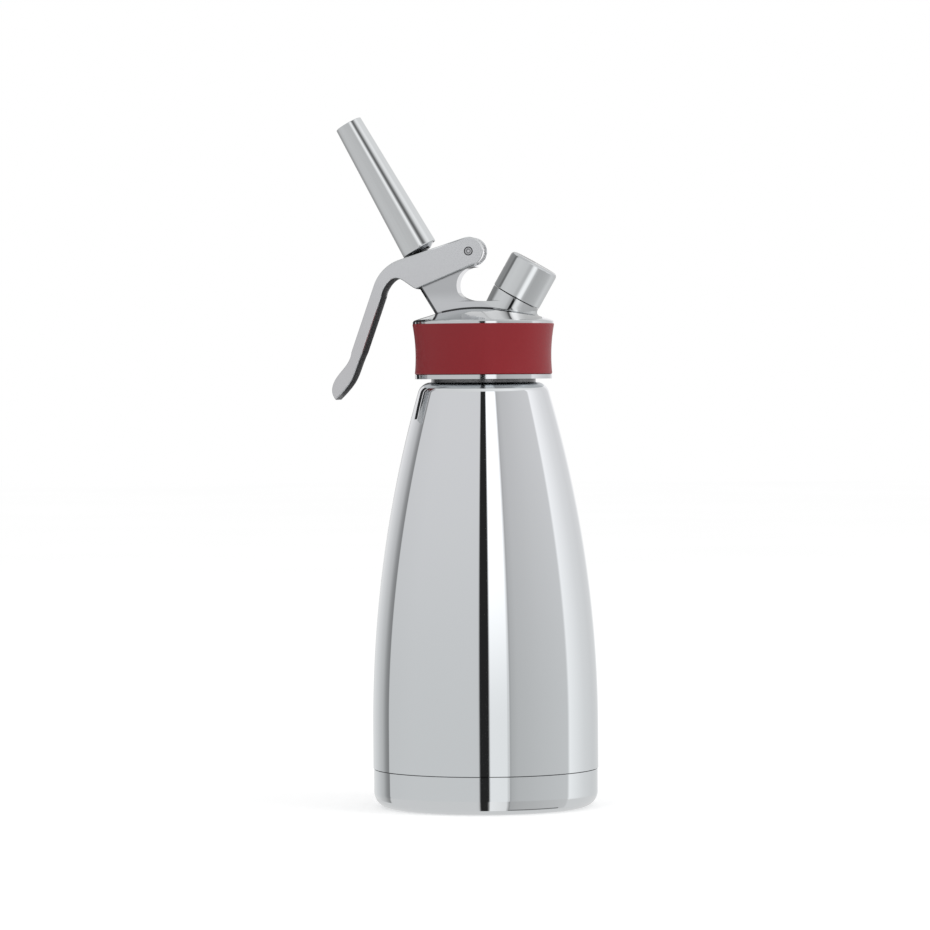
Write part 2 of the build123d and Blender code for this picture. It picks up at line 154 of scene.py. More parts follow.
def emptyFinish(name):
    finish = bpy.data.materials.new(name)
    finish.use_nodes = True
    graph = Graph(finish.node_tree)
    graph.made = finish
    return graph, graph.node("ShaderNodeTexCoord", output="Object")


def newFinish(name, colour, **extra):
    graph, where = emptyFinish(name)
    graph.shader = graph.tree.nodes.new("ShaderNodeBsdfPrincipled")
    for socket, value in {"Base Color": (*colour, 1), "Metallic": 1.0, **extra}.items():
        graph.shader.inputs[socket].default_value = value
    graph.show("ShaderNodeOutputMaterial", Wire(graph, graph.shader.outputs[0]))
    return graph, where


def dressed(graph, colour, rough, normal=None):
    for socket, wire in (("Base Color", colour), ("Roughness", rough), ("Normal", normal)):
        if wire is not None:
            graph.tree.links.new(wire.socket, graph.shader.inputs[socket])
    return graph.made


def tinted(graph, colour, change, noise):
    # a little lighter and darker by a noise
    dark = [c * (1 - change) for c in colour]
    light = [min(1.0, c * (1 + change)) for c in colour]
    return graph.mixColour(noise, dark, light)


def bumped(graph, height, strength, distance):
    return graph.node("ShaderNodeBump", {"Height": height, "Strength": strength, "Distance": distance})


def cornerShaded(graph, colour, distance, low=0.5, high=0.8, floor=0.08, highlightShare=None):
    # painted shade: corners and gaps, found by an occlusion test, are painted dark, except where the highlight
    # share given to it keeps them light
    dark = [floor * c for c in (0.78, 0.80, 0.82)]
    around = graph.node("ShaderNodeAmbientOcclusion", {"Distance": distance}, {"samples": 6}, 1)
    shadeMix = graph.smooth(around, low, high)
    if highlightShare is not None:
        shadeMix = shadeMix.most(highlightShare)
    return graph.mixColour(shadeMix, dark, colour)


steelColour = (0.755, 0.776, 0.790)

# shell and base, buffed bright
mirrorBuff = {"roughness": 0.02, "smear": 0.04, "ripple": 0.00005, "gap": 0.0035, "shade": (0.12, 0.75, 0.36)}


def mirrorSteel():
    graph, where = newFinish("mirrorSteel", steelColour)
    haze = graph.noise(where, 9.0, 4.0)
    ring = graph.node("ShaderNodeMapping", {"Vector": where, "Scale": (6.0, 6.0, 420.0)})
    lines = graph.noise(ring, 1.0, 2.0)      # faint polishing rings
    steel = tinted(graph, steelColour, 0.012, haze)
    # painted shade: darker in gaps and corners
    colour = cornerShaded(graph, steel, mirrorBuff["gap"], *mirrorBuff["shade"])
    rough = mirrorBuff["roughness"] + mirrorBuff["smear"] * graph.smooth(haze, 0.35, 0.75) * 0.5 + lines * 0.012
    wave = graph.noise(where, 14.0, 1.0)
    return dressed(graph, colour, rough, bumped(graph, wave, 0.25, mirrorBuff["ripple"]))


# where the ear's painted highlight sits, its share and its colour
earPlace = {"low": 0.2375, "from": -0.0048, "side": -0.004, "highlightShare": 0.9, "highlightColour": (0.93, 0.94, 0.95)}


def earHighlight(x, y, z):
    # painted highlight on the ear's round end next to the lever
    e = earPlace
    return (z > e["low"]) * (x > e["from"]) * (y > e["side"]) * e["highlightShare"]


castPolish = {
    "colour": (0.622, 0.640, 0.652), "roughness": 0.07, "peel": 0.00004, "gap": 0.0012,
    "postFrom": 0.2215, "postTo": 0.2275, "postRight": 0.002, "postShadeTone": 0.82,
    "edgeFoot": (-0.0207, 0.2169), "edgeLean": 0.6045, "edgeWide": 0.0019, "edgeOut": -0.003, "edgeTop": 0.2375,
    "flatSide": 0.0056, "shadeMix": (0.06, 0.062, 0.065), "shadeMixShare": 0.93,
    "domeTop": 0.21966, "domeRadius": 0.080, "footShadowWidth": 0.00055, "footShadowColour": (0.03, 0.032, 0.034),
}


def castSteel(name="castSteel", footShadowed=False):
    c = castPolish
    graph, where = newFinish(name, c["colour"])
    haze = graph.noise(where, 60.0, 4.0)
    x, y, z = graph.split(where)
    # painted shade: the post is painted a little darker than the cap and the low web
    post = graph.smooth(z, c["postFrom"], c["postTo"]) * (x < c["postRight"])
    bright = tinted(graph, c["colour"], 0.03, haze)
    colour = graph.mixColour(post, bright, [level * c["postShadeTone"] for level in c["colour"]])
    # painted shade: a dark band painted along the post's rear edge
    edgeX, edgeZ = c["edgeFoot"]
    inward = x - edgeX + (z - edgeZ) * c["edgeLean"]
    side = (y > c["flatSide"]) + (y < -c["flatSide"])
    shadeMix = (1.0 - graph.smooth(inward, 0.75 * c["edgeWide"], c["edgeWide"])) * side
    shadeMix = shadeMix * (z > edgeZ - 0.0002) * (z < c["edgeTop"]) * (inward > c["edgeOut"])
    colour = graph.mixColour(shadeMix * c["shadeMixShare"], colour, c["shadeMix"])
    if footShadowed:
        # painted shadow: a dark line painted where the web stands on the dome
        above = z - c["domeTop"] + (x * x + y * y) / (2 * c["domeRadius"])
        clear = graph.smooth(above, 0.7 * c["footShadowWidth"], 1.2 * c["footShadowWidth"])
        colour = graph.mixColour(clear, c["footShadowColour"], colour)
    # painted highlight on the ear, which the painted shade below leaves alone
    highlightShare = earHighlight(x, y, z)
    colour = graph.mixColour(highlightShare, colour, earPlace["highlightColour"])
    # painted shade: darker in corners and gaps
    colour = cornerShaded(graph, colour, c["gap"], 0.5, 0.85, highlightShare=highlightShare)
    peel = graph.noise(where, 260.0, 2.0)
    return dressed(graph, colour, c["roughness"] + 0.05 * haze, bumped(graph, peel, 0.3, c["peel"]))


leverSatin = {
    "arm": (0.65, 0.668, 0.68), "handle": (0.61, 0.615, 0.625), "handleTop": 0.205, "armLow": 0.252,
    "roughness": 0.16, "grain": 0.00003, "gap": 0.0006,
}


def satinCastSteel():
    s = leverSatin
    graph, where = newFinish("satinCastSteel", s["arm"])
    haze = graph.noise(where, 45.0, 5.0)
    grain = graph.noise(where, 2600.0, 2.0)
    x, y, height = graph.split(where)
    # painted shade: the handle is painted darker than the arm, blending between the two heights
    arm = tinted(graph, s["arm"], 0.03, haze)
    handle = tinted(graph, s["handle"], 0.03, haze)
    colour = graph.mixColour(graph.smooth(height, s["handleTop"], s["armLow"]), handle, arm)
    # painted highlight on the ear's round end
    highlightShare = earHighlight(x, y, height)
    colour = graph.mixColour(highlightShare, colour, earPlace["highlightColour"])
    # painted shade: darker in corners and gaps
    colour = cornerShaded(graph, colour, s["gap"], highlightShare=highlightShare)
    rough = s["roughness"] + 0.07 * haze + 0.04 * grain
    return dressed(graph, colour, rough, bumped(graph, grain, 0.35, s["grain"]))


def grainedSteel(name, colour, rough, tilt, scale, grain, gap=0.002):
    # brushed or turned lines; tilt leans the pattern onto the piece's own axis
    graph, where = newFinish(name, colour)
    leaned = graph.node("ShaderNodeMapping", {"Vector": where, "Rotation": (0, tilt, 0)})
    fine = graph.node("ShaderNodeMapping", {"Vector": leaned, "Scale": scale})
    lines = graph.noise(fine, 1.0, 3.0, 0.6)
    haze = graph.noise(where, 50.0, 3.0)
    # painted shade: darker in corners and gaps
    colour = cornerShaded(graph, tinted(graph, colour, 0.05, lines), gap, 0.3)
    return dressed(graph, colour, rough * (0.7 + 0.5 * lines) + 0.02 * haze, bumped(graph, lines, 0.3, grain))


def rubberFinish(name, colour, rough, grain, change, sheen=0.0):
    extra = {"Metallic": 0.0, "Sheen Weight": sheen, "Sheen Roughness": 0.4, "Specular IOR Level": 0.3}
    graph, where = newFinish(name, colour, **extra)
    cloud = graph.noise(where, 38.0, 4.0)
    pebble = graph.noise(where, 1500.0, 3.0, 0.65)
    colour = tinted(graph, colour, change, cloud)
    return dressed(graph, colour, rough + 0.1 * cloud, bumped(graph, pebble, 0.5, grain))


pivotSeat = (-5.3, 244.26)      # (x, z)
rivetMarks = {
    "colour": (0.60, 0.61, 0.62), "ringShade": (0.05, 0.05, 0.055), "rim": (0.00130, 0.00160),
    "dimple": (0.0004, 0.0007), "dimpleEdge": (0.0009, 0.0011),
}


def rivetSteel():
    # painted shade: a dark ring in the joint round the rivet's head and a fainter one at the dish's edge, which
    # leave a small bright middle
    m = rivetMarks
    graph, where = newFinish("rivetSteel", m["colour"])
    x, _, z = graph.split(where)
    across, up = x - pivotSeat[0] * mm, z - pivotSeat[1] * mm
    out = (across * across + up * up).root()
    rim = graph.smooth(out, *m["rim"])
    dimple = graph.smooth(out, *m["dimple"]) * (1.0 - graph.smooth(out, *m["dimpleEdge"]))
    haze = graph.noise(where, 900.0, 2.0)
    bright = tinted(graph, m["colour"], 0.04, haze)
    colour = graph.mixColour((rim + 0.6 * dimple).least(1.0), bright, m["ringShade"])
    return dressed(graph, colour, 0.15 + 0.2 * rim + 0.05 * haze)


finishes = {
    "polished_steel": mirrorSteel(),
    "head_steel": castSteel(),
    "lever_steel": satinCastSteel(),
    "tip_steel": grainedSteel("drawnTipSteel", (0.62, 0.636, 0.646), 0.055, lean, (900, 900, 30), 0.00002),
    "satin_steel": grainedSteel("turnedSteel", (0.66, 0.665, 0.67), 0.24, 0.0, (30, 30, 2400), 0.00003, 0.0045),
    "spring_steel": grainedSteel("springWire", (0.60, 0.60, 0.60), 0.2, lean, (300, 300, 1200), 0.00002),
    "dark_steel": grainedSteel(
        "darkTurnedSteel", (0.66, 0.665, 0.68), 0.2, lean, (60, 60, 2600), 0.00001, 0.0004,
    ),
    "red_silicone": rubberFinish("redSilicone", (0.250, 0.010, 0.016), 0.42, 0.00004, 0.06, 0.05),
    "seal_silicone": rubberFinish("paleSilicone", (0.66, 0.63, 0.58), 0.5, 0.00003, 0.05),
    "seal_rubber": rubberFinish("blackRubber", (0.028, 0.028, 0.030), 0.5, 0.00003, 0.15),
}
slotOf = {part["node"]: part["material_slot"] for part in frame["record"]["subparts"]}
bodyOf = {part: body for body, held in frame["record"]["behaviour"]["bodies"].items() for part in held}
for nodeName, held in nodes.items():
    held.data.materials.clear()
    held.data.materials.append(finishes[slotOf[nodeName]])
print("finishes", len(finishes))


def rounded(corners, steps=5):
    # corners are (radius, height, round); each is swapped for a small arc
    outline = []
    count = len(corners)
    for i, (r, z, rounding) in enumerate(corners):
        here = Vector((r, z))
        before = Vector(corners[i - 1][:2]) - here
        after = Vector(corners[(i + 1) % count][:2]) - here
        if rounding <= 0 or before.length < 1e-9 or after.length < 1e-9:
            outline.append((r, z))
            continue
        half = before.angle(after) / 2
        reach = min(rounding / math.tan(half), 0.49 * before.length, 0.49 * after.length)
        radius = reach * math.tan(half)
        middle = here + (before.normalized() + after.normalized()).normalized() * (radius / math.sin(half))
        start = here + before.normalized() * reach - middle
        end = here + after.normalized() * reach - middle
        turn = start.angle_signed(end)
        for k in range(steps + 1):
            spot = start.copy()
            spot.rotate(Matrix.Rotation(-turn * k / steps, 2))
            outline.append((middle.x + spot.x, middle.y + spot.y))
    return outline


def turnedMesh(name, outline, place=Matrix.Identity(4), segments=144):
    # closed outline of (radius, height) in mm, spun about its own Z
    built = bmesh.new()
    rings = []
    for r, z in outline:
        if r < 1e-6:
            rings.append([built.verts.new((0, 0, z * mm))] * segments)
            continue
        turns = [2 * math.pi * k / segments for k in range(segments)]
        rings.append([built.verts.new((r * mm * math.cos(t), r * mm * math.sin(t), z * mm)) for t in turns])
    for low, high in zip(rings, rings[1:] + rings[:1]):
        for k in range(segments):
            face = []
            for vert in (low[k], low[(k + 1) % segments], high[(k + 1) % segments], high[k]):
                if vert not in face:
                    face.append(vert)
            if len(face) > 2:
                built.faces.new(face)
    bmesh.ops.recalc_face_normals(built, faces=built.faces)
    mesh = meshOf(built, name)
    mesh.transform(place)
    return softened(mesh, 32)


def addPiece(mesh, *standsFor, like=None):
    # body and slot are those of the node it stands for or is like
    nodeName = like or standsFor[0]
    body, slot = bodyOf[nodeName], slotOf[nodeName]
    piece = placed(mesh)
    if not mesh.materials:
        mesh.materials.append(finishes[slot])
    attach(piece, body)
    if standsFor:
        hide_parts(*standsFor)
    return piece


def tiltedPlace(seat, tilt):
    return Matrix.Translation((seat[0] * mm, 0, seat[1] * mm)) @ Matrix.Rotation(-tilt, 4, "Y")


# where the nozzle and the port's cap sit, (x, z)
stemSeat, portSeat = (-28.018, 245.424), (14.8, 224.26)
stemPlace, portPlace = tiltedPlace(stemSeat, lean), tiltedPlace(portSeat, -lean)
print("lathe ready")


class FormGraph(Graph):
    # a geometry tree with named sizes
    def __init__(self, name, sizes):
        tree = bpy.data.node_groups.new(name, "GeometryNodeTree")
        super().__init__(tree)
        tree.interface.new_socket("Geometry", in_out="OUTPUT", socket_type="NodeSocketGeometry")
        self.keys = {}
        for label, value in sizes.items():
            kind = "NodeSocketInt" if isinstance(value, int) else "NodeSocketFloat"
            self.keys[label] = tree.interface.new_socket(label, in_out="INPUT", socket_type=kind)
        entry = tree.nodes.new("NodeGroupInput")
        self.size = {label: Wire(self, entry.outputs[label]) for label in sizes}

    def finish(self, geometry, finish):
        real = self.node("GeometryNodeRealizeInstances", {0: geometry})
        dressed = self.node("GeometryNodeSetMaterial", {"Geometry": real, "Material": finish})
        self.show("NodeGroupOutput", dressed)

    def sheet(self, long, wide):
        # grid, and how far along and across it each point is, from 0 to 1
        sizes = {"Size X": 1.0, "Size Y": 1.0, "Vertices X": long, "Vertices Y": wide}
        along, across, _ = self.split(self.node("GeometryNodeInputPosition"))
        return self.node("GeometryNodeMeshGrid", sizes), along + 0.5, across + 0.5

    def wound(self, grid, radius, turn, height):
        spot = {"X": radius * self.sum("COSINE", turn), "Y": radius * self.sum("SINE", turn), "Z": height}
        place = self.node("ShaderNodeCombineXYZ", spot)
        return self.node("GeometryNodeSetPosition", {"Geometry": grid, "Position": place})


def formedMesh(name, graph, sizes):
    # runs a tree on an empty object and keeps the plain mesh
    holder = placed(bpy.data.meshes.new(name + ".start"))
    form = holder.modifiers.new("form", "NODES")
    form.node_group = graph.tree
    for label, value in sizes.items():
        form[graph.keys[label].identifier] = value
    ready = holder.evaluated_get(bpy.context.evaluated_depsgraph_get())
    mesh = bpy.data.meshes.new_from_object(ready)
    mesh.name = name
    bpy.data.objects.remove(holder)
    return mesh


bottleSizes = {
    "Body Radius": 0.0496, "Arc Radius": 0.534, "Straight Height": 0.035, "Foot Height": 0.0171,
    "Shoulder Height": 0.1868, "Shoulder Round": 0.006, "Neck Radius": 0.023, "Around": 288, "Rows": 140,
}
footRows, arcRows, roundRows = 0.06, 0.72, 0.92      # share of the rows used up by the end of each stretch


def bottleForm():
    # straight foot, one long arc, a rounded shoulder and a flat top round the neck
    graph = FormGraph("bottleForm", bottleSizes)
    size = graph.size
    arc, bend = size["Arc Radius"], size["Shoulder Round"]
    inward = size["Body Radius"] - arc
    rise = size["Shoulder Height"] - bend - size["Straight Height"]
    slant = graph.sum("ARCSINE", rise / (arc - bend))      # of the side where the rounding starts
    grid, across, step = graph.sheet(size["Around"], size["Rows"])

    def share(start, end):
        return ((step - start) / (end - start)).least(1.0).most(0.0)

    first = slant * share(footRows, arcRows)
    second = slant + (math.pi / 2 - slant) * share(arcRows, roundRows)
    radius = inward + arc * graph.sum("COSINE", first)
    radius = radius + bend * (graph.sum("COSINE", second) - graph.sum("COSINE", slant))
    flatStart = inward + (arc - bend) * graph.sum("COSINE", slant)
    radius = radius - (flatStart - size["Neck Radius"]) * share(roundRows, 1.0)
    height = size["Foot Height"] + (size["Straight Height"] - size["Foot Height"]) * share(0.0, footRows)
    height = height + arc * graph.sum("SINE", first)
    height = height + bend * (graph.sum("SINE", second) - graph.sum("SINE", slant))
    moved = graph.wound(grid, radius, across * (2 * math.pi), height)
    merged = graph.node("GeometryNodeMergeByDistance", {"Geometry": moved, "Distance": 0.000002})
    graph.finish(merged, finishes["polished_steel"])
    return graph


shellSizes = {
    "wall": 0.0009, "insideRows": 70, "tailRadius": 48.05, "tailWall": 0.9, "tailFoot": 8.8, "tailTop": 17.4,
}


def makeTail():
    # plain tube that holds the base cup
    s = shellSizes
    inner = s["tailRadius"] - s["tailWall"]
    return turnedMesh("tail", rounded([
        (inner, s["tailFoot"], 0.2), (s["tailRadius"], s["tailFoot"], 0.2), (s["tailRadius"], s["tailTop"], 0),
        (inner, s["tailTop"], 0),
    ]), segments=192)


def makeOuterShell():
    graph = bottleForm()
    outside = formedMesh("shell.outside", graph, bottleSizes)
    wall = shellSizes["wall"]
    thinner = {**bottleSizes, "Rows": shellSizes["insideRows"]}
    for label in ("Body Radius", "Arc Radius", "Shoulder Height", "Shoulder Round"):
        thinner[label] -= wall
    thinner["Foot Height"] += wall
    inside = formedMesh("shell.inside", graph, thinner)
    built = bmesh.new()
    built.from_mesh(outside)
    built.from_mesh(inside)
    rims = [e for e in built.edges if e.is_boundary]
    for high in (False, True):     # close the foot, then the neck's hole
        pair = [e for e in rims if (e.verts[0].co.z > bottleSizes["Straight Height"]) == high]
        bmesh.ops.bridge_loops(built, edges=pair)
    bmesh.ops.recalc_face_normals(built, faces=built.faces)
    tail = makeTail()
    built.from_mesh(tail)
    for spare in (outside, inside, tail):
        bpy.data.meshes.remove(spare)
    return softened(meshOf(built, "bottle_skin"), 32)


addPiece(makeOuterShell(), "outer_shell")

baseProfile = {
    "radius": 49.3, "height": 16.8, "wall": 1.2, "round": 7.0, "recess": 35.5, "recessDepth": 1.2, "floor": 2.7,
}


def makeBaseCup():
    b = baseProfile
    inner = b["radius"] - b["wall"]
    return turnedMesh("base_cup_skin", rounded([
        (0, b["floor"], 0), (0, b["recessDepth"], 0), (b["recess"] - b["recessDepth"], b["recessDepth"], 0.4),
        (b["recess"], 0, 0.4), (b["radius"], 0, b["round"]), (b["radius"], b["height"], 0.25),
        (inner, b["height"], 0.25), (inner, b["floor"], b["round"] - b["wall"]),
    ], 14), segments=288)


addPiece(makeBaseCup(), "base_cup")
print("bottle and base")


bandProfile = {
    "top": 31.3, "waist": 29.95, "foot": 30.3, "seat": 27.4, "low": 190.1, "high": 212.75, "round": 0.8,
    "steps": 24,
}


def makeBand():
    b = bandProfile
    middle, mean = (b["low"] + b["high"]) / 2, (b["foot"] + b["top"]) / 2
    side = []       # of the waist between the rounded edges
    for k in range(2, b["steps"] - 1):
        z = b["low"] + (b["high"] - b["low"]) * k / b["steps"]
        t = (z - middle) / (b["high"] - middle)
        side.append((mean + (b["top"] - b["foot"]) / 2 * t - (mean - b["waist"]) * (1 - t * t), z, 0))
    low = [(b["seat"], b["low"], 0), (b["foot"], b["low"], b["round"])]
    high = [(b["top"], b["high"], b["round"]), (b["seat"], b["high"], 0)]
    return turnedMesh("grip_band_soft", rounded(low + side + high, 7), segments=224)


addPiece(makeBand(), "grip_band")

tipProfile = {
    "length": 63.88, "foot": 7.95, "mouth": 6.1, "round": 0.35, "socket": 5.7, "socketEnd": 10.5,
    "outlet": 4.5, "outletFrom": 14.0,
}


def makeTip():
    t = tipProfile
    corners = [
        (t["socket"], 0, 0.3), (t["foot"], 0, t["round"]), (t["mouth"], t["length"], t["round"]),
        (t["outlet"], t["length"], 0.3), (t["outlet"], t["outletFrom"], 0), (t["socket"], t["socketEnd"], 0),
    ]
    return turnedMesh("nozzle_tube", rounded(corners, 5), stemPlace, 160)


addPiece(makeTip(), "nozzle_tip")

capProfile = {"radius": 11.2, "height": 17.0, "round": 1.8, "chamfer": 0.35, "bore": 8.8, "roof": 2.8}


def makeCap():
    c = capProfile
    corners = [
        (0, c["height"], 0), (0, c["height"] - c["roof"], 0), (c["bore"], c["height"] - c["roof"], 0.5),
        (c["bore"], 0, 0.3), (c["radius"], 0, c["chamfer"]), (c["radius"], c["height"], c["round"]),
    ]
    return turnedMesh("charger_cap", rounded(corners, 10), portPlace, 160)


addPiece(makeCap(), "port_cap")

pinProfile = {"radius": 1.9, "half": 8.5, "chamfer": 0.3, "dish": 0.9, "dishDepth": 0.35, "dishSlope": 0.25}


def makePivotPin():
    p = pinProfile
    low, dish = -p["half"], -p["half"] + p["dishDepth"]
    near = [
        (0, dish, 0), (p["dish"], dish, 0.1), (p["dish"] + p["dishSlope"], low, 0.1),
        (p["radius"], low, p["chamfer"]),
    ]
    corners = near + [(r, -z, rounding) for r, z, rounding in reversed(near)]
    seat = Matrix.Translation((pivotSeat[0] * mm, 0, pivotSeat[1] * mm))
    place = seat @ Matrix.Rotation(math.radians(90), 4, "X")
    return turnedMesh("pivot_rivet", rounded(corners, 4), place, 64)


rivet = makePivotPin()
rivet.materials.append(rivetSteel())
addPiece(rivet, "pivot_pin")
print("turned pieces")


threadSizes = {
    "Radius": 0.02225, "Lead": 0.006, "Turns": 1.6, "Foot": 0.19,
    "Root Width": 0.0018, "Crest Width": 0.0008, "Depth": 0.00075, "Steps": 160, "Starts": 2,
}


def threadForm(finish):
    # ridges wound up a core, run out flat at both ends; a minus depth faces inwards
    graph = FormGraph("threadForm", threadSizes)
    size = graph.size
    turns = size["Turns"]
    strip, step, across = graph.sheet(size["Steps"], 5)
    row = across * 4.0
    ramp = (step * turns * 8.0).least((1.0 - step) * turns * 8.0).least(1.0)
    # rows 0 and 4 close the ridge behind the core's face, 1 to 3 are its flanks and crest
    crest = (row > 0.5) * (row < 3.5)
    side = row - 2.0
    width = size["Root Width"] + crest * (size["Crest Width"] - size["Root Width"])
    edge = side.most(-1.0).least(1.0) * width * 0.5
    reach = size["Radius"] + size["Depth"] * (crest * ramp * 1.25 - 0.25)
    turn = step * turns * (2 * math.pi)
    height = size["Foot"] + size["Lead"] * step * turns + edge
    ridge = graph.wound(strip, reach, turn, height)
    copies = {"Count": size["Starts"], "Offset": (0, 0, 0)}
    starts = graph.node("GeometryNodeMeshLine", copies, {"mode": "OFFSET"})
    number = graph.node("GeometryNodeInputIndex")
    spin = graph.node("ShaderNodeCombineXYZ", {"Z": number * (2 * math.pi) / size["Starts"]})
    spread = graph.node("GeometryNodeInstanceOnPoints", {"Points": starts, "Instance": ridge, "Rotation": spin})
    graph.finish(spread, finish)
    return graph


neckProfile = {"root": 22.25, "crest": 23.0, "inner": 20.95, "foot": 185.95, "shoulder": 189.6, "mouth": 206.0}
threadKinds = {     # own sizes over the ones above, place, node it sits on
    "neck_thread": ({"Foot": 0.1908, "Turns": 1.95}, Matrix.Identity(4), "neck_ring"),
    "head_thread": ({"Foot": 0.1923, "Radius": 0.0233, "Depth": -0.00075}, Matrix.Identity(4), "head_body"),
    "port_thread": ({
        "Foot": 0.0012, "Turns": 5.6, "Lead": 0.0015, "Starts": 1, "Radius": 0.0085, "Depth": 0.0002,
        "Root Width": 0.0011, "Crest Width": 0.0003, "Steps": 400,
    }, portPlace, "head_body"),
    "tip_thread": ({
        "Foot": 0.0012, "Turns": 5.4, "Lead": 0.00125, "Starts": 1, "Radius": 0.0054, "Depth": 0.00018,
        "Root Width": 0.0009, "Crest Width": 0.00025, "Steps": 360,
    }, stemPlace, "tip_adapter"),
}


def makeNeckRing():
    n = neckProfile
    return turnedMesh("neck_ring_core", rounded([
        (n["inner"], n["foot"], 0), (n["crest"], n["foot"], 0), (n["crest"], n["shoulder"], 0.2),
        (n["root"], n["shoulder"] + 0.5, 0.2), (n["root"], n["mouth"], 0.7), (n["inner"], n["mouth"], 0.3),
    ], 5), segments=192)


addPiece(makeNeckRing(), "neck_ring")
for name, (own, place, nodeName) in threadKinds.items():
    ridges = formedMesh(name, threadForm(finishes[slotOf[nodeName]]), {**threadSizes, **own})
    ridges.transform(place)
    addPiece(softened(ridges, 20), like=nodeName)
print("threads")

springSizes = {
    "Mean Radius": 0.004, "Wire Radius": 0.00045, "Turns": 6.0, "Low": -0.0238, "High": -0.01186, "Steps": 360,
}


def springForm(finish):
    # round wire wound up the stem
    graph = FormGraph("springForm", springSizes)
    size = graph.size
    coil = graph.node(
        "GeometryNodeCurveSpiral",
        {"Resolution": size["Steps"], "Rotations": size["Turns"], "Start Radius": size["Mean Radius"],
         "End Radius": size["Mean Radius"], "Height": size["High"] - size["Low"]},
    )
    lift = graph.node("ShaderNodeCombineXYZ", {"Z": size["Low"]})
    raised = graph.node("GeometryNodeTransform", {"Geometry": coil, "Translation": lift})
    section = {"Resolution": 12, "Radius": size["Wire Radius"]}
    wire = graph.node("GeometryNodeCurvePrimitiveCircle", section)
    sweep = {"Curve": raised, "Profile Curve": wire, "Fill Caps": True}
    tube = graph.node("GeometryNodeCurveToMesh", sweep)
    graph.finish(tube, finish)
    return graph


def makeSpring():
    mesh = formedMesh("valve_spring_coil", springForm(finishes["spring_steel"]), springSizes)
    mesh.transform(stemPlace)
    mesh.shade_smooth()
    return mesh


spring = addPiece(makeSpring(), "valve_spring")
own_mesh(spring)
print("spring")


def flatsOf(built):
    # faces that lie in one plane side by side, and the area of each such flat
    flatOf, areas = {}, []
    for face in built.faces:
        if face in flatOf:
            continue
        flatOf[face] = len(areas)
        waiting, area = [face], 0.0
        while waiting:
            one = waiting.pop()
            area += one.calc_area()
            for other in (f for edge in one.edges for f in edge.link_faces if f not in flatOf):
                if other.normal.dot(face.normal) > 0.99996:
                    flatOf[other] = len(areas)
                    waiting.append(other)
        areas.append(area)
    return flatOf, areas


def shadedMesh(built, name, angle):
    # smooth faces share a normal at each corner, where every flat counts by its whole area
    built.normal_update()
    for group in (built.verts, built.faces):
        group.index_update()
    flatOf, areas = flatsOf(built)
    limit = math.cos(math.radians(angle))
    normals = {}
    for vert in built.verts:
        left = set(vert.link_faces)
        while left:
            waiting, fan = [left.pop()], []
            while waiting:
                one = waiting.pop()
                fan.append(one)
                for edge in (e for e in one.edges if vert in e.verts):
                    for other in edge.link_faces:
                        if other in left and other.normal.dot(one.normal) > limit:
                            left.discard(other)
                            waiting.append(other)
            total = Vector()
            for flat, normal in {flatOf[f]: f.normal for f in fan}.items():
                total += normal * areas[flat]
            for one in fan:
                normals[one.index, vert.index] = total.normalized()
    mesh = meshOf(built, name)
    mesh.shade_smooth()
    mesh.normals_split_custom_set([
        normals[side.index, mesh.loops[i].vertex_index] for side in mesh.polygons for i in side.loop_indices
    ])
    return mesh


def welded(nodeName, merge=0.000004):
    # the node's own form as one closed mesh
    built = bmesh.new()
    built.from_mesh(nodes[nodeName].data)
    bmesh.ops.remove_doubles(built, verts=built.verts, dist=merge)
    return built


headEdges = {
    "rimGrow": 0.0007, "rimFrom": 0.024, "rimTo": 0.030, "rimLow": 0.2118, "rimEnd": 0.0304,
    "lipGrow": 0.00055, "lipFrom": 0.027, "lipTo": 0.029, "lipHigh": 0.1902,
    "bossGrow": 0.35, "bossFoot": -8.0, "bossTop": -2.0, "bossEnd": 0.4,
    "bossInner": 9.9, "bossFull": 10.7, "bossReach": 15.0,
}


def eased(value, low, high):
    share = min(1.0, max(0.0, (value - low) / (high - low)))
    return share * share * (3 - 2 * share)


def makeHead():
    # rim and lip stand out a touch, level with the soft band between them, and the boss is level with its cap
    e = headEdges
    built = welded("head_body")
    upright = portPlace.inverted()
    for vert in built.verts:
        spot = upright @ vert.co
        boss, up = math.hypot(spot.x, spot.y) / mm, spot.z / mm
        if e["bossInner"] < boss < e["bossReach"] and e["bossFoot"] < up < e["bossEnd"]:
            fade = 1 - eased(boss, e["bossFull"], e["bossReach"])
            wider = 1 + fade * e["bossGrow"] * eased(up, e["bossFoot"], e["bossTop"]) / boss
            vert.co = portPlace @ Vector((spot.x * wider, spot.y * wider, spot.z))
            continue
        out = math.hypot(vert.co.x, vert.co.y)
        grow = 0.0
        if vert.co.z > e["rimLow"] and out < e["rimEnd"]:
            grow = e["rimGrow"] * eased(out, e["rimFrom"], e["rimTo"])
        elif vert.co.z < e["lipHigh"]:
            grow = e["lipGrow"] * eased(out, e["lipFrom"], e["lipTo"])
        if grow:
            vert.co.x *= 1 + grow / out
            vert.co.y *= 1 + grow / out
    return shadedMesh(built, "head_body_cast", 28)


addPiece(makeHead(), "head_body")
addPiece(shadedMesh(welded("lever"), "lever_cast", 28), "lever")

fairing = {
    "webSide": 6.42, "webFrom": -17.5, "bend": (-11.0, -7.0), "bossSide": 11.0, "top": 222.3, "low": 213.0,
    "frontTurn": -86.0, "arcSteps": 6,
}


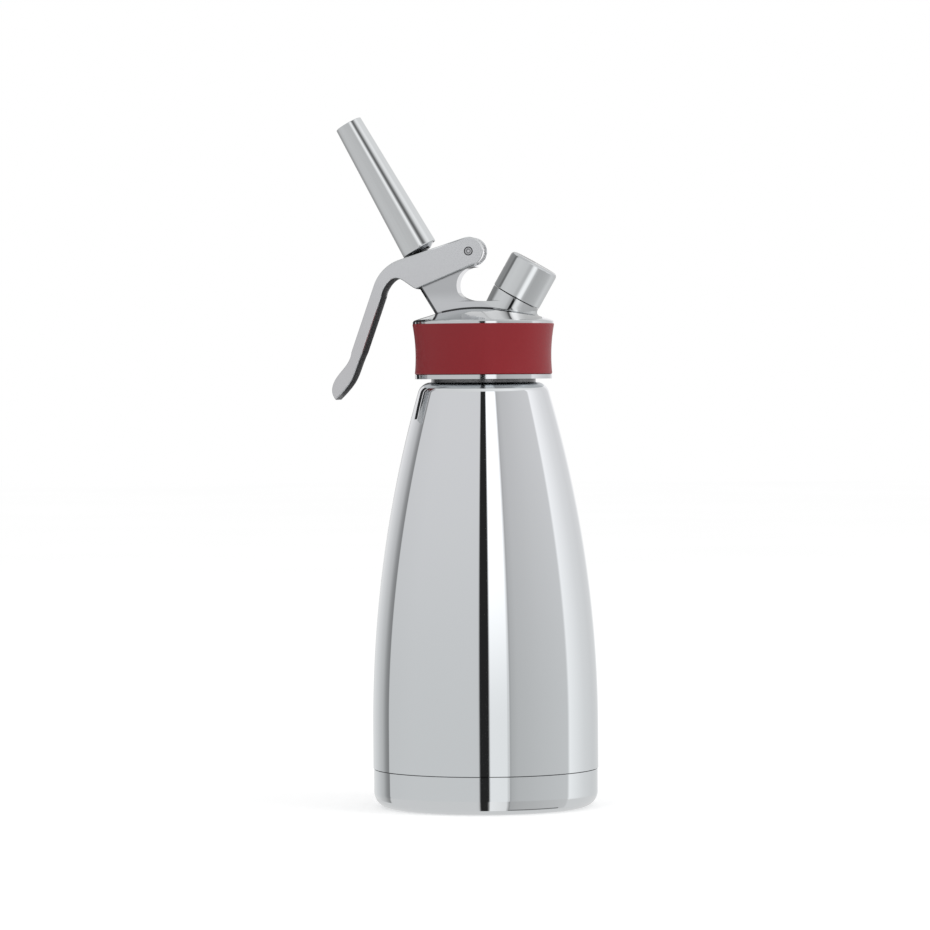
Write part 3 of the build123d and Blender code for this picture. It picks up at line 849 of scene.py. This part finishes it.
def webOutline(z):
    # half outline on the near side, from the post round onto the port's boss
    f = fairing
    middle = portSeat[0] + (z - portSeat[1]) * math.tan(lean)
    wide, deep = f["bossSide"] / math.cos(lean), f["bossSide"]
    start, stop = f["bend"]
    across, along = ((start + stop) / 2 - middle) / wide, -f["webSide"] / deep
    touch = math.atan2(along, across) + math.acos(1 / math.hypot(across, along))
    touchSpot = (middle + wide * math.cos(touch), deep * math.sin(touch))
    slope = (touchSpot[1] + f["webSide"]) / (touchSpot[0] - (start + stop) / 2)
    line = [(f["webFrom"], -f["webSide"])]
    for k in range(5):
        x = start + (stop - start) * k / 4
        line.append((x, -f["webSide"] + slope * (x - start) ** 2 / (2 * (stop - start))))
    last = math.radians(f["frontTurn"])
    for k in range(f["arcSteps"] + 1):
        turn = touch + (last - touch) * k / f["arcSteps"]
        line.append((middle + wide * math.cos(turn), deep * math.sin(turn)))
    return line


def prism(low, high):
    # closed form between two outlines with as many points
    built = bmesh.new()
    rings = [[built.verts.new([c * mm for c in spot]) for spot in ring] for ring in (low, high)]
    count = len(low)
    for k in range(count):
        n = (k + 1) % count
        built.faces.new((rings[0][k], rings[0][n], rings[1][n], rings[1][k]))
    for ring in rings:
        built.faces.new(ring)
    built.normal_update()
    bmesh.ops.triangulate(built, faces=[f for f in built.faces if len(f.verts) > 4])
    bmesh.ops.recalc_face_normals(built, faces=built.faces)
    return built


def makeFairing():
    # the web's flat sides run out level onto the port's boss
    rings = []
    for z in (fairing["low"], fairing["top"]):
        near = webOutline(z)
        rings.append([(x, y, z) for x, y in near] + [(x, -y, z) for x, y in reversed(near)])
    return shadedMesh(prism(*rings), "web_fairing.side", 30)


throatSide = 6.39
throatCurve = [     # (x, z)
    (-10.35, 226.2), (-9.75, 225.4), (-9.0, 224.7), (-8.0, 224.0), (-6.8, 223.4), (-5.4, 222.95),
    (-3.8, 222.62), (-2.0, 222.44), (0.0, 222.37), (0.0, 222.0), (-11.6, 222.0), (-11.6, 226.2),
]


def makeThroat():
    # round corner between the post and the low web
    sides = [[(x, y, z) for x, z in throatCurve] for y in (-throatSide, throatSide)]
    return shadedMesh(prism(*sides), "web_fairing.throat", 30)


cheek = {
    "radius": 10.92, "inner": 9.4, "facing": -83.5, "from": -52, "steps": 40,
    "proud": 0.42, "proudFrom": -45, "proudTo": -8,
    "foot": -4.6, "footRun": 20.0, "footDrop": 4.2, "head": -0.45, "headRun": 10.0, "headDrop": 1.75,
    "thinLine": 0.04, "line": 0.7, "lineEnd": -4.0, "lineFrom": -34.0, "lineTo": -16.0,
}


def quarterRound(turn, run):
    # 0 at the front end and 1 a run away from it, along a quarter circle
    return math.sqrt(max(0.0, 1 - max(0.0, 1 + turn / run) ** 2))


def makeCheek(side):
    # the web's rounded end, standing a little proud on the boss
    c = cheek
    built = bmesh.new()
    columns, turns = [], []
    for k in range(c["steps"] + 1):
        turn = c["from"] * (1 - math.sin(math.pi / 2 * k / c["steps"]))       # 0 is the end that faces front
        reach = c["radius"] + c["proud"] * eased(turn, c["proudFrom"], c["proudTo"])
        foot = c["foot"] - c["footDrop"] * quarterRound(turn, c["footRun"])
        head = c["head"] - c["headDrop"] * (1 - quarterRound(turn, c["headRun"]))
        line = foot + c["thinLine"] + c["line"] * eased(turn, c["lineFrom"], c["lineTo"])
        angle = math.radians(c["facing"] + turn)
        column = []
        for r, z in ((c["inner"], foot), (reach, foot), (reach, line), (reach, head), (c["inner"], head)):
            spot = portPlace @ Vector((r * mm * math.cos(angle), r * mm * math.sin(angle), z * mm))
            column.append(built.verts.new((spot.x, spot.y * side, spot.z)))
        columns.append(column)
        turns.append(turn)
    for one, other, turn in zip(columns, columns[1:], turns):
        for k in range(5):
            n = (k + 1) % 5
            face = built.faces.new((one[k], one[n], other[n], other[k]))
            # the outer strip from the foot up to the line, the outer face near the front end and the front end
            # face take the second finish, a painted shadow
            face.material_index = int(k == 1 or (k == 2 and turn > c["lineEnd"]))
    built.faces.new(columns[0])
    built.faces.new(columns[-1]).material_index = 1
    bmesh.ops.recalc_face_normals(built, faces=built.faces)
    return shadedMesh(built, "web_fairing.cheek", 30)


def gathered(name, *meshes):
    # several shaded meshes as one, each keeping its own normals
    helpers = [placed(mesh) for mesh in meshes]
    with bpy.context.temp_override(active_object=helpers[0], selected_editable_objects=helpers):
        bpy.ops.object.join()
    whole = helpers[0].data
    bpy.data.objects.remove(helpers[0])
    whole.name = name
    return whole


webParts = [makeFairing(), makeThroat(), makeCheek(1), makeCheek(-1)]
# the web's finish with its painted shadow line at the foot, and a dark finish for the cheeks' painted shadow
# strips
webFinishes = [
    castSteel("footShadowCastSteel", True),
    grainedSteel("seamShadow", (0.035, 0.036, 0.039), 0.3, 0.0, (200, 200, 900), 0.00001),
]
for part in webParts:
    for finish in webFinishes:
        part.materials.append(finish)
addPiece(gathered("web_fairing", *webParts), like="head_body")
print("cast pieces")


def linear(level):
    # screen grey of 0 to 255 to light
    level /= 255
    return level / 12.92 if level <= 0.04045 else ((level + 0.055) / 1.055) ** 2.4


def stageObject(mesh, finish, seen=("glossy", "transmission")):
    thing = placed(mesh)
    mesh.materials.append(finish)
    for ray in ("camera", "diffuse", "glossy", "transmission", "volume_scatter", "shadow"):
        setattr(thing, "visible_" + ray, ray in seen)


def drumMesh(name, radius, low, high, openEnd):
    # round wall facing inwards, open at one end, or at both for 0
    built = bmesh.new()
    bmesh.ops.create_cone(
        built, cap_ends=True, segments=96, radius1=radius, radius2=radius, depth=high - low,
        matrix=Matrix.Translation((0, 0, (high + low) / 2)),
    )
    lids = [f for f in built.faces if abs(f.normal.z) > 0.5 and f.normal.z * openEnd >= 0]
    bmesh.ops.delete(built, geom=lids, context="FACES_ONLY")
    bmesh.ops.reverse_faces(built, faces=built.faces)
    return meshOf(built, name)


tentSizes = {"radius": 0.15, "low": -0.02, "high": 0.5, "pitRadius": 1.5, "pitLow": -1.5, "swap": 0.275}
steelShare, tipShare, castShare = 0.776, 0.61, 0.64      # what each finish gives back

# (direction in degrees from the front, grey level that the bottle shows of it)
lowBands = [
    (-180, 222), (-174.5, 222), (-173.5, 92), (-152, 92), (-149, 205), (-134.7, 212), (-119.4, 200),
    (-106, 178), (-99, 140), (-93.6, 125), (-92.8, 197), (-60, 200), (1.4, 200), (2.0, 36), (9.9, 36),
    (10.4, 262), (26.5, 260), (27.1, 140), (28.6, 172), (34.6, 182), (58.6, 190), (86.5, 196), (88.0, 238),
    (93.7, 232), (105, 220), (112, 213), (130.6, 203), (150, 205), (157, 222), (180, 226),
]
# the same for the wall above the bottle
highBands = [(-180, 185), (-107, 188), (-60, 184), (0, 190), (60, 205), (110, 192), (180, 185)]
# around the foot, by the way the steel faces
footBands = [
    (-90, 215), (-80, 212), (-72, 199), (-64, 172), (-60, 138), (-58.7, 126), (-58.2, 197), (-3.6, 197),
    (-3.1, 36), (1.3, 36), (1.7, 228), (11.0, 215), (11.6, 120), (12.4, 162), (16, 168), (30, 178), (46.3, 188),
    (47.0, 222), (52, 215), (60, 207), (72, 200), (90, 205),
]
# round pieces of the head, by the way the steel faces
tipBands = [
    (-90, 140), (-68, 146), (-60, 168), (-55, 180), (-40, 184), (-4, 178), (1, 178), (5, 214), (10.5, 236),
    (14.5, 165), (18, 98), (22, 98), (27, 160), (32, 208), (39, 224), (47, 207), (60, 206), (72, 198),
    (90, 197),
]
capBands = [
    (-90, 150), (-82, 142), (-62, 130), (-55, 132), (-51, 106), (-47, 106), (-44, 192), (-30, 197), (-10, 190),
    (-5, 176), (-1.5, 176), (2, 225), (6, 244), (10, 232), (13, 176), (18, 163), (30, 166), (45, 175),
    (56, 196), (66, 188), (78, 176), (90, 174),
]
bossBands = [
    (-90, 135), (-80, 124), (-58, 118), (-52, 150), (-47, 192), (-30, 197), (-14, 190), (-6, 160), (-1.5, 120),
    (-1, 70), (1, 70), (2, 180), (6, 222), (11, 220), (16, 190), (24, 170), (45, 165), (75, 165), (90, 170),
]
toCamera = (0.1305, -0.9914, 0.0)
toRight = (0.9914, 0.1305, 0.0)


def glowFinish(name, build):
    graph, where = emptyFinish(name)
    colour, strength = build(graph, where)
    shine = graph.node("ShaderNodeEmission", {"Color": colour, "Strength": strength})
    graph.show("ShaderNodeOutputMaterial", shine)
    return graph.made


brightest = 1.75


def bandRamp(graph, place, bands, share, span=360):
    ramp = graph.node("ShaderNodeValToRGB", {"Fac": place / span + 0.5})
    stops = ramp.socket.node.color_ramp.elements
    while len(stops) < len(bands):
        stops.new(0.5)
    for stop, (angle, grey) in zip(stops, bands):
        level = min(1.0, linear(grey) / share / brightest)
        stop.position, stop.color = angle / span + 0.5, (level, level, level, 1)
    return ramp


tentTones = {
    "rise": (0.0, 0.24), "lowTint": (0.935, 0.945, 0.95), "highTint": (1.055, 1.045, 1.06),
    "strip": (10.2, 26.8), "stripRise": (0.03, 0.13), "stripDim": 0.26,
    "blend": 0.012, "sideTurn": -98.0, "sideLower": 0.035, "roof": 184,
}


def tentPaint(graph, where):
    t = tentTones
    x, y, z = graph.split(where)
    around = graph.bearing(x, -y)
    low = bandRamp(graph, around, lowBands, steelShare)
    high = bandRamp(graph, around, highBands, tipShare)
    # paler and warmer towards the shoulder; the bright strip dims towards the foot
    strip = (around > t["strip"][0]) * (around < t["strip"][1])
    dim = 1.0 - t["stripDim"] * (1.0 - graph.smooth(z, *t["stripRise"])) * strip
    tint = graph.mixColour(graph.smooth(z, *t["rise"]), t["lowTint"], t["highTint"])
    low = graph.arrow("MULTIPLY", low, tint)
    low = graph.node("ShaderNodeVectorMath", {0: low, "Scale": dim}, {"operation": "SCALE"})
    start = tentSizes["swap"] - t["blend"] / 2
    upper = graph.smooth(z + t["sideLower"] * (around < t["sideTurn"]), start, start + t["blend"])
    wall = graph.mixColour(upper, low, high)
    roof = [linear(t["roof"]) / brightest / castShare] * 3
    return graph.mixColour(z > tentSizes["high"] - 0.0005, wall, roof), brightest


pitTones = {
    "point": (0.0061, -0.0466, 0.003), "level": 198,
    "patches": [    # under which slope, between which directions, share of the level
        (-0.65, 12.0, 42.0, 0.3), (-0.22, 46.4, 181, 1.03), (-0.50, -181, -46.0, 0.98), (-0.72, -181, 181, 1.0),
    ],
}


def pitPaint(graph, where):
    # what the rounded foot mirrors below the tent, by the way it faces to show this spot to the camera
    out = graph.arrow("NORMALIZE", graph.arrow("SUBTRACT", where, pitTones["point"]))
    normal = graph.arrow("NORMALIZE", graph.arrow("ADD", out, toCamera))
    turn = graph.bearing(graph.dot(normal, toRight), graph.dot(normal, toCamera))
    drop = graph.split(normal)[2]
    foot = bandRamp(graph, turn, footBands, steelShare, 180)
    level = linear(pitTones["level"]) / brightest / steelShare
    for slope, start, stop, share in pitTones["patches"]:
        foot = graph.mixColour((drop < slope) * (turn > start) * (turn < stop), foot, [level * share] * 3)
    return foot, brightest


for name, radius, low, high, openEnd, paint in (
    ("Tent", tentSizes["radius"], tentSizes["low"], tentSizes["high"], -1, tentPaint),
    ("Pit", tentSizes["pitRadius"], tentSizes["pitLow"], tentSizes["low"], 1, pitPaint),
):
    drum = drumMesh("studio" + name, radius, low, high, openEnd)
    stageObject(drum, glowFinish(name.lower() + "Cloth", paint))


sleeves = {     # joint is where the lower bands end
    "tip": {"place": stemPlace, "radius": 26.0, "inner": 7.0, "low": 0.6, "high": 80.0, "share": tipShare,
            "bands": tipBands},
    "cap": {"place": portPlace, "radius": 14.0, "inner": 11.1, "low": -9.0, "high": 19.0, "share": castShare,
            "bands": capBands, "lowerBands": bossBands, "joint": -0.0004},
}


def sleevePaint(s):
    # a paper sleeve round a piece, painted so that its bands run straight along the piece
    place, ratio = s["place"], s["inner"] / s["radius"]
    axis = (place.to_3x3() @ Vector((0, 0, 1))).normalized()
    front = Vector(toCamera) - axis * axis.dot(Vector(toCamera))
    front.normalize()
    right = front.cross(axis) * -1
    seat = tuple(place.translation)

    def painted(graph, turn, bands):
        met = [(2 * a - math.degrees(math.asin(ratio * math.sin(math.radians(a)))), grey) for a, grey in bands]
        return bandRamp(graph, turn, met, s["share"])

    def paint(graph, where):
        out = graph.arrow("SUBTRACT", where, seat)
        turn = graph.bearing(graph.dot(out, right), graph.dot(out, front))
        colour = painted(graph, turn, s["bands"])
        if "joint" in s:
            below = painted(graph, turn, s["lowerBands"])
            colour = graph.mixColour(graph.dot(out, axis) > s["joint"], below, colour)
        return colour, brightest

    return paint


for label, s in sleeves.items():
    tube = drumMesh(label + "Sleeve", s["radius"] * mm, s["low"] * mm, s["high"] * mm, 0)
    tube.transform(s["place"])
    stageObject(tube, glowFinish(label + "Paper", sleevePaint(s)))


def cardMesh(name, rows):
    # upright card through rows of points, each from one side to the other
    built = bmesh.new()
    spots = [[built.verts.new([c * mm for c in spot]) for spot in row] for row in rows]
    for low, high in zip(spots, spots[1:]):
        built.faces.new((*low, *reversed(high)))
    return meshOf(built, name)


# the handle's inner curve, (x, z)
handleCurve = [
    (-64.5, 179.5), (-60.6, 183.6), (-57.6, 188), (-55.7, 192), (-53.5, 198.4), (-43.8, 224.7), (-42.4, 229),
    (-40.2, 231.6),
]
cards = {
    # dark cloths that the post's and the handle's inner sides mirror
    "postCard": [((-36, -7.5, z), (-36, 14, z)) for z in (218.5, 231.0)],
    "handleCard": [((x + 1, 10.5, z), (x + 13, 10.5, z - 4)) for x, z in handleCurve],
}


def clothPaint(graph, where):
    return graph.mixColour(graph.noise(where, 30.0), (0.02, 0.02, 0.021), (0.04, 0.04, 0.042)), 1.0


for label, rows in cards.items():
    stageObject(cardMesh(label, rows), glowFinish(label + "Cloth", clothPaint))

floorSizes = {"reach": 6.0, "lift": 0.36}


def makeFloor():
    built = bmesh.new()
    bmesh.ops.create_grid(built, x_segments=1, y_segments=1, size=floorSizes["reach"])
    graph, where = emptyFinish("paleFloor")
    cloud = graph.noise(where, 3.0)
    pale = graph.mixColour(cloud, (0.86, 0.86, 0.86), (0.90, 0.90, 0.90))
    matte = graph.node("ShaderNodeBsdfDiffuse", {"Color": pale})
    lift = graph.node("ShaderNodeLightPath", output="Is Camera Ray") * floorSizes["lift"]
    glow = graph.node("ShaderNodeEmission", {"Color": (1, 1, 1, 1), "Strength": lift})
    both = graph.node("ShaderNodeAddShader", {0: matte, 1: glow})
    graph.show("ShaderNodeOutputMaterial", both)
    stageObject(meshOf(built, "floorSheet"), graph.made, ("camera", "diffuse"))


makeFloor()

lampSizes = {"world": 0.72, "key": 2.8, "fill": 6.2}


def makeWorld():
    world = bpy.data.worlds.new("paleRoom")
    bpy.context.scene.world = world
    world.use_nodes = True
    graph = Graph(world.node_tree)
    rays = [f"Is {ray} Ray" for ray in ("Camera", "Glossy", "Transmission")]
    camera, glossy, through = (graph.node("ShaderNodeLightPath", output=ray) for ray in rays)
    plain = (camera + glossy + through).least(1.0)
    strength = plain + (1.0 - plain) * lampSizes["world"]
    sky = graph.node("ShaderNodeBackground", {"Color": (1, 1, 1, 1), "Strength": strength})
    graph.show("ShaderNodeOutputWorld", sky)


def makeLamp(name, place, power, size):
    light = bpy.data.lights.new(name, "AREA")
    light.energy, light.size = power, size
    lamp = placed(light)
    lamp.location = place
    lamp.rotation_euler = (Vector((0, 0, 0.15)) - Vector(place)).to_track_quat("-Z", "Y").to_euler()
    lamp.visible_glossy = False


makeWorld()
makeLamp("keyLamp", (-0.7, -1.3, 1.3), lampSizes["key"], 0.9)
makeLamp("fillLamp", (1.4, -0.5, 0.7), lampSizes["fill"], 0.9)


cameraSizes = {
    "place": (0.26105, -1.9829, 0.190), "aim": (-0.008494, 0.0, 0.150313), "roll": 0.3624, "lens": 175.86,
}


def makeCamera():
    c = cameraSizes
    place, aim, roll = Vector(c["place"]), Vector(c["aim"]), math.radians(c["roll"])
    ahead = (aim - place).normalized()
    right = ahead.cross(Vector((0, 0, 1))).normalized()
    up = right.cross(ahead)
    x = right * math.cos(roll) - up * math.sin(roll)
    y = right * math.sin(roll) + up * math.cos(roll)
    view = bpy.data.cameras.new("viewCamera")
    view.lens, view.sensor_width, view.clip_start, view.clip_end = c["lens"], 36.0, 0.05, 60.0
    camera = placed(view)
    camera.matrix_world = Matrix((
        (x.x, y.x, -ahead.x, place.x), (x.y, y.y, -ahead.y, place.y),
        (x.z, y.z, -ahead.z, place.z), (0, 0, 0, 1),
    ))
    bpy.context.scene.camera = camera


makeCamera()
bpy.context.scene.view_settings.view_transform = "Standard"
print("studio and camera")
